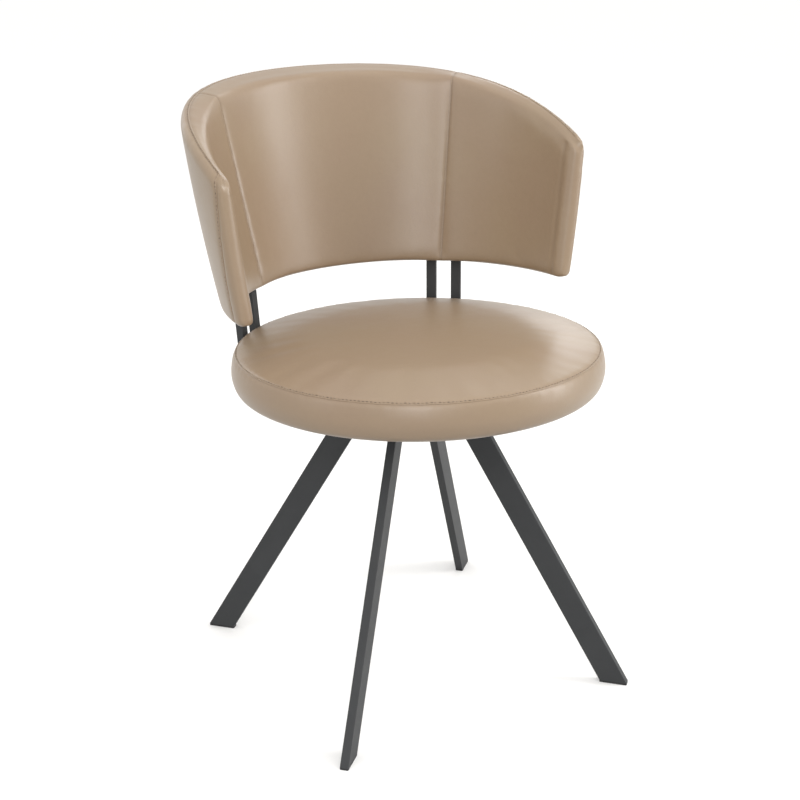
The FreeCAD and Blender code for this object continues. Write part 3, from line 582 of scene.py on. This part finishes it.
def seatProfile():
    # radius and rise from the central patch out to the hem, with the index of the seam ring
    crown = seat["crown"] - seat["startSmaller"]
    shoulder = Vector((seat["shoulder"][0], seat["shoulder"][1] - seat["startSmaller"]))
    seam, foot = Vector(seat["seam"]), Vector(seat["foot"])
    bulge = Vector((seat["bulge"][0] - seat["startSmaller"], seat["bulge"][1]))
    drop = crown - shoulder.y

    def onCrown(radius):
        return Vector((radius, crown - drop * (radius / shoulder.x) ** 2))

    count = seatRings["crown"]
    rings = [onCrown(seat["patch"] + (shoulder.x - seat["patch"]) * i / count) for i in range(count + 1)]
    slope = 2 * drop / shoulder.x
    lead = Vector((shoulder.x + seatRings["lead"], shoulder.y - seatRings["lead"] * slope))
    rings += bowTo(shoulder, lead, seam, seatRings["shoulder"])[1:]
    seamRing = len(rings)
    belly = Vector((bulge.x * 2 - (seam.x + foot.x) / 2, bulge.y))
    rings += bowTo(seam, belly, foot, seatRings["band"])
    under = Vector((foot.x - seat["footRound"], 0.0))
    rings += roundTo(foot, Vector((foot.x, 0.0)), under, seatRings["foot"])
    rings += lineTo(under, Vector((seat["hem"], 0.0)), seatRings["under"])
    rings += [Vector((seat["hem"], 0.0)), Vector((seat["hem"], seat["boardInside"]))]
    return onCrown, rings, seamRing


def patchPlace(u, v, size):
    # a rounded square of points that grows into a circle at its rim without pinched corners
    disc = Vector((u * math.sqrt(1 - v * v / 2), v * math.sqrt(1 - u * u / 2)))
    square = Vector((u, v)) * seatRings["squareSize"]
    return (disc * seatRings["discShare"] + square * seatRings["squareShare"]) * size


def makeSeatCushion():
    onCrown, rings, seamRing = seatProfile()
    side, patchSize = seat["sectors"] // 4, seat["patch"] * seatRings["patchShare"]
    points, faces, patchIndex = [], [], {}

    def put(x, y, rise):
        points.append(leaned(x, y + seat["centreY"], lean["barTop"] + rise))
        return len(points) - 1

    def band(before, after):
        return [(before[n], after[n], after[(n + 1) % len(after)], before[(n + 1) % len(after)])
                for n in range(len(after))]

    for i in range(side + 1):
        for j in range(side + 1):
            spot = patchPlace(2 * i / side - 1, 2 * j / side - 1, patchSize)
            patchIndex[i, j] = put(spot.x, spot.y, onCrown(spot.length).y)
    faces += [(patchIndex[i, j], patchIndex[i + 1, j], patchIndex[i + 1, j + 1], patchIndex[i, j + 1])
              for i in range(side) for j in range(side)]
    border = ([(i, 0) for i in range(side)] + [(side, j) for j in range(side)] +
              [(side - i, side) for i in range(side)] + [(0, side - j) for j in range(side)])
    angles = []
    for i, j in border:
        u, v = 2 * i / side - 1, 2 * j / side - 1
        angles.append(math.atan2(v * math.sqrt(1 - u * u / 2), u * math.sqrt(1 - v * v / 2)))
    previous = [patchIndex[key] for key in border]
    inner = [patchPlace(2 * i / side - 1, 2 * j / side - 1, patchSize) for i, j in border]
    for k in range(1, seatRings["bridges"]):
        current = []
        for start, angle in zip(inner, angles):
            spot = start.lerp(Vector((math.cos(angle), math.sin(angle))) * rings[0].x,
                              k / seatRings["bridges"])
            current.append(put(spot.x, spot.y, onCrown(spot.length).y))
        faces += band(previous, current)
        previous = current
    ringIndex = []
    for ring in rings:
        current = [put(ring.x * math.cos(a), ring.x * math.sin(a), ring.y) for a in angles]
        faces += band(previous, current)
        ringIndex.append(current)
        previous = current
    middle = put(0.0, 0.0, seat["boardInside"])
    faces += [(previous[n], middle, previous[(n + 1) % len(angles)]) for n in range(len(angles))]
    cushion = meshPiece("seatCushion", points, faces, leather)
    seamPoints = [points[n].copy() for n in ringIndex[seamRing]]
    fixed = ringIndex[-seatRings["fixedRings"]:]
    held = list(ringIndex[seamRing]) + [n for ring in fixed for n in ring] + [middle]
    furthest = puffUp(cushion, held, seat["pressure"], seat["cap"], seat["steps"])
    relax(cushion, held, seat["ease"])
    print(f"stage: seat cushion filled, its cover moved {furthest:.1f} mm at most")
    subdivideOnce(cushion)
    line = [p for p, _ in evenly(seamPoints, seat["seamStep"], True)]
    sewInto(cushion, [dict(seamLooks["seat"], points=line)])
    return cushion, seamPoints


seatCushion, seatSeam = makeSeatCushion()
rideAs(seatCushion, "seat")
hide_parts("seat_top_cover", "seat_side_band", "seat_foam")
print("stage: seat cushion made")

# The back pad: one closed outline of the wall at each azimuth, joined round the back
back = {"centreY": -13.2, "bottom": 508.3, "rearHeight": 260.7, "innerRadius": 218.5,
        "sideFlare": 0.12, "rearFlare": 0.049, "cornerFlare": 0.03, "seamAzimuth": 38.0,
        "seamLean": 2.5, "wallAzimuth": 85.8, "endAzimuth": 89.0, "rearThickness": 54.0, "endThickness": 22.0,
        "bulge": 3.5, "bulgeEnd": 6.0, "rimSlope": 0.196, "rimCurve": 0.00052, "rimRise": 6.8, "rimFall": 7.8,
        "seamMargin": 13.0, "seamFromLedge": 3.0, "creaseDrop": 3.0, "creaseCorner": (0.3, 1.4),
        "ledge": (5.0, 3.6), "ledgeFade": 12.0, "edge": 5.0, "endRolls": (7.5, 4.0, 8.0, 4.0),
        "startSmaller": 0.8, "pressure": 2.5, "cap": 2.2, "steps": 20, "ease": 8, "seamStep": 2.0,
        "endSeam": (88.0, 84.2), "endSeamFoot": 2.0, "grooveAzimuth": 84.6, "grooveEnds": (6.0, 8.0)}
# how finely the wall is drawn: outlines in each part, columns on the arms' ends, points along drawn seams
backSteps = {"beside": (0.5, 1.2, 2.3), "centre": 24, "side": 30, "end": 5, "columns": 4, "dome": 1.2,
             "domeShare": 0.06, "probe": (8.0, 640.0), "endSeam": 40, "groove": 80}


def backFlare(azimuth):
    a = math.radians(azimuth)
    return back["sideFlare"] + back["rearFlare"] * math.cos(a) + back["cornerFlare"] * math.sin(2 * a) ** 2


def rimHeight(azimuth):
    # the rim falls towards the front, so its height is found where it stands
    rear = back["innerRadius"] + backFlare(0) * back["rearHeight"]
    top = back["bottom"] + back["rearHeight"]
    height = top
    for _ in range(6):
        radius = back["innerRadius"] + backFlare(azimuth) * (height - back["bottom"])
        ahead = rear - radius * math.cos(math.radians(azimuth))
        height = top - back["rimSlope"] * ahead - back["rimCurve"] * ahead ** 2
    return height


def seamLean(azimuth, share):
    # the panel seams lean out a little towards the rim, and the outlines between them with them
    seam, wall, turn = back["seamAzimuth"], back["wallAzimuth"], abs(azimuth)
    weight = turn / seam if turn < seam else max(0.0, (wall - turn) / (wall - seam))
    return azimuth + math.copysign(back["seamLean"] * weight * share, azimuth)


def backPlace(azimuth, depth, height):
    # depth is measured outwards from the inner face at that height
    a = math.radians(azimuth)
    radius = back["innerRadius"] + backFlare(azimuth) * (height - back["bottom"]) + depth
    return leaned(math.sin(a) * radius, math.cos(a) * radius + back["centreY"], height)


segments = {"footRound": 4, "face": 42, "crease": 5, "rimRoll": 7, "outerRoll": 12, "outer": 42, "heel": 4,
            "under": 8}


def backRing(azimuth, rolls):
    # one closed outline of the wall, from the foot of the inner face over the rim and round
    rollIn, rollOut, rollTop, rollLow = rolls
    extra = (back["rearThickness"] - back["endThickness"]) * math.cos(math.radians(azimuth)) ** 2
    thick = back["endThickness"] + extra
    low, crease = back["bottom"] + rollLow, rimHeight(seamLean(azimuth, 1.0)) - rollTop
    outer, edge, slim = thick - rollOut, back["edge"], back["startSmaller"]
    seamHigh = crease + back["rimRise"]
    ledgeIn, ledgeRise = back["ledge"]
    seamDepth = max(outer - back["seamMargin"], rollIn + ledgeIn + back["seamFromLedge"])

    def at(depth, height):
        return Vector((depth, height))

    middle = (low + crease) / 2
    outline = roundTo(at(rollIn + edge, low), at(rollIn, low), at(rollIn, low + edge), segments["footRound"])
    outline += bowTo(at(rollIn, low + edge), at(rollIn + 2 * slim, middle), at(rollIn, crease - back["creaseDrop"]),
                     segments["face"])
    fade = min(1.0, (back["endAzimuth"] - abs(azimuth)) / back["ledgeFade"])
    ledge = at(rollIn + ledgeIn, crease + ledgeRise * fade)
    cornerIn, cornerFall = back["creaseCorner"]
    outline += roundTo(at(rollIn, crease - back["creaseDrop"]), at(rollIn + cornerIn, ledge.y - cornerFall),
                       ledge, segments["crease"])
    outline += lineTo(ledge, at(seamDepth, seamHigh), segments["rimRoll"])
    outline += roundTo(at(seamDepth, seamHigh), at(outer, seamHigh), at(outer, crease - back["rimFall"]),
                       segments["outerRoll"])
    belly = outer + 2 * (back["bulge"] - slim) * (1 - rollOut / back["bulgeEnd"])
    outline += bowTo(at(outer, crease - back["rimFall"]), at(belly, middle), at(outer, low + edge),
                     segments["outer"])
    outline += roundTo(at(outer, low + edge), at(outer, low), at(outer - edge, low), segments["heel"])
    outline += lineTo(at(outer - edge, low), at(rollIn + edge, low), segments["under"])
    return [backPlace(seamLean(azimuth, (p.y - low) / (crease - low)), p.x, p.y) for p in outline]


def backStations():
    # azimuth and roll-off of each outline, closer together beside the panel seams and round the ends
    seam, wall = back["seamAzimuth"], back["wallAzimuth"]
    beside, centre, outwards, end = (backSteps[key] for key in ("beside", "centre", "side", "end"))
    half = [(seam - beside[-1]) * i / centre for i in range(centre + 1)]
    half += [seam - b for b in beside[-2::-1]] + [seam] + [seam + b for b in beside]
    half += [seam + beside[-1] + (wall - seam - beside[-1]) * i / outwards for i in range(1, outwards + 1)]
    stations = [(a, 0.0) for a in half]
    for i in range(1, end + 1):
        turn = math.radians(90 * i / end)
        stations.append((wall + (back["endAzimuth"] - wall) * math.sin(turn), 1 - math.cos(turn)))
    return [(-a, r) for a, r in stations[:0:-1]] + stations


def endSeam(side):
    # the seam turns at the top front corner and runs down the outer edge of the arm's end
    first, last = back["endSeam"]
    count, line = backSteps["endSeam"], []
    for i in range(count + 1):
        azimuth = first + (last - first) * i / count
        high = rimHeight(azimuth) - back["rimFall"]
        height = high + (back["bottom"] + back["endSeamFoot"] - high) * i / count
        depth = back["endThickness"] + back["bulge"] * math.sin(math.pi * i / count)
        line.append(backPlace(side * azimuth, depth, height))
    return line


def endGroove(side):
    # a soft hollow where the inner cover turns round the arm's end
    azimuth, count = back["grooveAzimuth"], backSteps["groove"]
    low, high = back["bottom"] + back["grooveEnds"][0], rimHeight(azimuth) - back["grooveEnds"][1]
    return [backPlace(side * azimuth, 0.0, low + (high - low) * i / count) for i in range(count + 1)]


def makeBackPad():
    stations = backStations()
    rings = [backRing(a, [roll * share for roll in back["endRolls"]]) for a, share in stations]
    count = len(rings[0])
    points = [p for ring in rings for p in ring]
    faces = []
    for s in range(len(rings) - 1):
        for n in range(count):
            m = (n + 1) % count
            faces.append((s * count + n, s * count + m, (s + 1) * count + m, (s + 1) * count + n))
    startUnder = count - segments["under"] // 2
    columns, probe = backSteps["columns"], backSteps["probe"]
    for ringStart, azimuth in ((0, -90.0), ((len(rings) - 1) * count, 90.0)):
        further = backPlace(azimuth + math.copysign(1.0, azimuth), *probe)
        ahead = (further - backPlace(azimuth, *probe)).normalized()
        previous = [ringStart + startUnder % count]
        for k in range(1, count // 2):
            first = ringStart + (startUnder + k) % count
            last = ringStart + (startUnder - k) % count
            row = [first]
            width = (points[last] - points[first]).length
            dome = min(backSteps["dome"] / 1000, backSteps["domeShare"] * width)
            for c in range(1, columns):
                bowed = math.sin(math.pi * c / columns) * dome
                points.append(points[first].lerp(points[last], c / columns) + ahead * bowed)
                row.append(len(points) - 1)
            row.append(last)
            if len(previous) == 1:
                faces += [(previous[0], row[c], row[c + 1]) for c in range(columns)]
            else:
                faces += [(previous[c], row[c], row[c + 1], previous[c + 1]) for c in range(columns)]
            previous = row
        tip = ringStart + (startUnder + count // 2) % count
        faces += [(previous[c], tip, previous[c + 1]) for c in range(columns)]
    pad = meshPiece("backPad", points, faces, leather)
    seamIndex = segments["footRound"] + segments["face"] + segments["crease"] + segments["rimRoll"]
    panelStations = [s for s, (a, _) in enumerate(stations) if abs(abs(a) - back["seamAzimuth"]) < 1e-6]
    held = [s * count + seamIndex for s in range(len(rings))]
    held += [s * count + n for s in panelStations for n in range(seamIndex)]
    held += [s * count + n for s in range(len(rings)) for n in range(count - segments["under"], count)]
    rimSeam = [points[s * count + seamIndex].copy() for s in range(backSteps["end"], len(rings) - backSteps["end"])]
    ends = [endSeam(side) for side in (-1, 1)]
    panels = [[points[s * count + n].copy() for n in range(1, seamIndex + 1)] for s in panelStations]
    whole = ends[0][::-1] + rimSeam + ends[1]
    furthest = puffUp(pad, held, back["pressure"], back["cap"], back["steps"])
    relax(pad, held, back["ease"])
    print(f"stage: back pad filled, its cover moved {furthest:.1f} mm at most")
    subdivideOnce(pad)
    lines = {"rim": whole, "leftPanel": panels[0], "rightPanel": panels[1]}
    seams = [dict(seamLooks[key], points=[p for p, _ in evenly(line, back["seamStep"])])
             for key, line in lines.items()]
    seams += [dict(seamLooks[key], points=endGroove(side)) for key, side in (("leftGroove", -1), ("rightGroove", 1))]
    sewInto(pad, seams)
    return pad, whole, panels


backPad, rimSeam, panelSeams = makeBackPad()
rideAs(backPad, "seat")
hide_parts("back_panel_left", "back_panel_centre", "back_panel_right", "back_outer_cover",
            "back_bottom_cover", "back_end_left", "back_end_right", "back_front_foam", "back_rear_foam")
print("stage: back pad made")

# Folded edges and stitches along the seams
sewing = {
    "seatLip": {"radius": 0.9, "aside": 0.0, "lift": -0.1, "step": 4.0},
    "rimLip": {"radius": 0.9, "aside": 0.0, "lift": -0.1, "step": 4.0},
    "panelLip": {"radius": 0.6, "aside": 0.7, "lift": -0.15, "step": 4.0},
    "seatStitch": {"stitch": 3.4, "pitch": 5.0, "thread": 1.0, "dip": 0.5, "aside": 1.6, "lift": 0.3},
    "rimStitch": {"stitch": 3.4, "pitch": 5.0, "thread": 1.0, "dip": 0.5, "aside": 1.6, "lift": 0.3},
}
sewn = [makeLip("seatSeamLip", seatCushion, seatSeam, sewing["seatLip"], True),
        makeLip("backRimSeamLip", backPad, rimSeam, sewing["rimLip"], False),
        makeLip("backLeftPanelLip", backPad, panelSeams[0], sewing["panelLip"], False),
        makeLip("backRightPanelLip", backPad, panelSeams[1], sewing["panelLip"], False),
        makeStitches("seatSeamStitches", seatCushion, seatSeam, sewing["seatStitch"], True),
        makeStitches("backRimStitches", backPad, rimSeam, sewing["rimStitch"], False)]
for piece in sewn:
    rideAs(piece, "seat")
print("stage: seams sewn,", len(sewn), "pieces")

# Floor, surrounding light and lamps, in metres and watts
studio = {"floorSize": 40.0, "floorColour": "#f4f3f1", "lowLight": 0.38, "horizonLight": 0.93,
          "topLight": 1.22, "dimFrom": -0.12, "dimTo": -0.02,
          # name, place, width and height, power, and the place it is aimed at
          "lights": [("overheadSoftbox", (0.2, -0.8, 2.9), (2.6, 2.6), 8.0, (0, 0, 0.4)),
                     ("rightFrontStrip", (1.85, -1.2, 1.2), (0.6, 1.8), 29.0, (0, 0, 0.6)),
                     ("leftFrontStrip", (-1.1, -1.9, 1.5), (0.8, 1.6), 22.0, (0, 0, 0.65)),
                     ("leftStrip", (-2.2, -0.1, 1.2), (0.35, 1.6), 4.0, (0, 0, 0.55)),
                     ("leftRearStrip", (-0.5, 2.2, 1.4), (0.4, 1.6), 3.0, (0, 0, 0.55)),
                     ("rightRearStrip", (1.6, 1.7, 1.5), (0.4, 1.6), 5.0, (0, 0, 0.55))]}


def makeStudio():
    bpy.ops.object.select_all(action="DESELECT")
    bpy.ops.mesh.primitive_plane_add(size=studio["floorSize"], location=(0, 0, 0))
    floor = bpy.context.active_object
    floor.name = "studioFloor"
    material, _, shader, _ = newMaterial("mattStudioFloor", {"Roughness": 0.9, "Specular IOR Level": 0.1})
    shader.inputs["Base Color"].default_value = linear(studio["floorColour"])
    floor.data.materials.append(material)
    # the floor throws no light back up at the chair; the world's dim lower half stands for it
    floor.visible_diffuse = False
    world = bpy.data.worlds.new("studioLight")
    world.use_nodes = True
    # a tent of soft light that is brightest overhead
    tent = addNode(world.node_tree, "ShaderNodeTexCoord")
    height = addNode(world.node_tree, "ShaderNodeSeparateXYZ", None, {"Vector": tent.outputs["Generated"]})
    glow = addNode(world.node_tree, "ShaderNodeMapRange", {"To Min": studio["horizonLight"],
                                                           "To Max": studio["topLight"]},
                   {"Value": height.outputs["Z"]})
    # from below only a dim light comes, as from a floor in the chair's own shade
    dim = addNode(world.node_tree, "ShaderNodeMapRange", {"From Min": studio["dimFrom"], "From Max": studio["dimTo"],
                                                          "To Min": studio["lowLight"] / studio["horizonLight"]},
                  {"Value": height.outputs["Z"]})
    light = addNode(world.node_tree, "ShaderNodeMath", {"operation": "MULTIPLY"},
                    {0: glow.outputs["Result"], 1: dim.outputs["Result"]})
    world.node_tree.links.new(light.outputs["Value"], world.node_tree.nodes["Background"].inputs["Strength"])
    world.node_tree.nodes["Background"].inputs["Color"].default_value = (1, 1, 1, 1)
    bpy.context.scene.world = world
    for name, spot, size, power, aim in studio["lights"]:
        data = bpy.data.lights.new(name, "AREA")
        data.shape, data.size, data.size_y, data.energy = "RECTANGLE", size[0], size[1], power
        lamp = bpy.data.objects.new(name, data)
        bpy.context.scene.collection.objects.link(lamp)
        lamp.location = spot
        lamp.rotation_euler = (Vector(aim) - Vector(spot)).to_track_quat("-Z", "Y").to_euler()
    bpy.context.scene.view_settings.view_transform = "Standard"


makeStudio()
print("stage: studio set")
